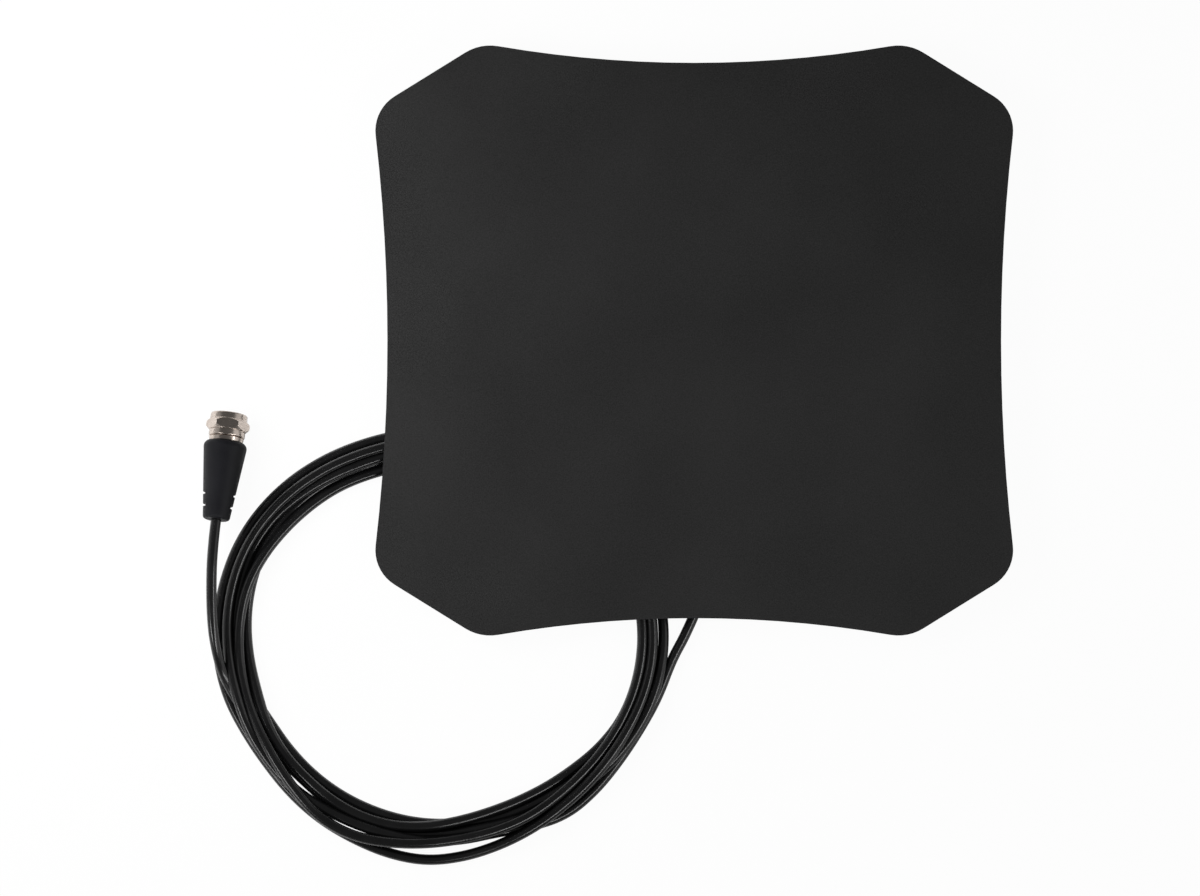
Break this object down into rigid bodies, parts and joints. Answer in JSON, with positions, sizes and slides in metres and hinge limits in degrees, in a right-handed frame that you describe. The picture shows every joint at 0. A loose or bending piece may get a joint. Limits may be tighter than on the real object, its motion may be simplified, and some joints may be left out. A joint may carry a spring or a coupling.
{
  "type": "flat indoor television antenna",
  "caption": "Thin flat indoor TV antenna panel with hollow sides and cut corners, a feed box on its back, and a coiled coaxial lead ending in a moulded screw plug with a free-turning nut.",
  "frame": {"origin": "centre of the panel in plan, on the surface that the antenna lies on", "axes": "+Z up, out of the panel's front face; +X along the panel's longer width, to the right in the picture; +Y up in the picture"},
  "size_m": [0.2389, 0.2399, 0.0157],
  "materials": {
    "panel": "fine matte",
    "foil": "rolled foil",
    "pad": "foam tape",
    "box": "fine spark texture",
    "steel": "blackened",
    "board": "solder mask",
    "ferrite": "sintered",
    "copper": "enamelled wire",
    "contact": "bare brass",
    "cable": "glossy jacket",
    "boot": "satin moulding",
    "nickel": "nickel plate",
    "insulator": "natural white"
  },
  "bodies": {
    "antenna": {"front_sheet": "panel", "back_sheet": "panel", "radiator_left": "foil", "radiator_right": "foil", "adhesive_pad": "pad", "box_base": "box", "box_cover": "box", "cover_screw_left": "steel", "cover_screw_right": "steel", "balun_board": "board", "balun_core": "ferrite", "balun_winding": "copper", "feed_contact_left": "contact", "feed_contact_right": "contact", "cable_clamp": "contact", "cable_gland": "boot", "cable_lead": "cable", "cable_coil": "cable", "cable_tail": "cable", "plug_boot": "boot", "connector_body": "nickel", "plug_insulator": "insulator", "centre_pin": "contact"},
    "nut": {"coupling_nut": "nickel"}
  },
  "joints": [
    {"name": "nut_spin", "type": "hinge", "parent": "antenna", "child": "nut", "pos_m": [-0.13803, -0.02853, 0.00712], "axis": [0.1154, 0.9748, -0.1908], "continuous": true}
  ]
}
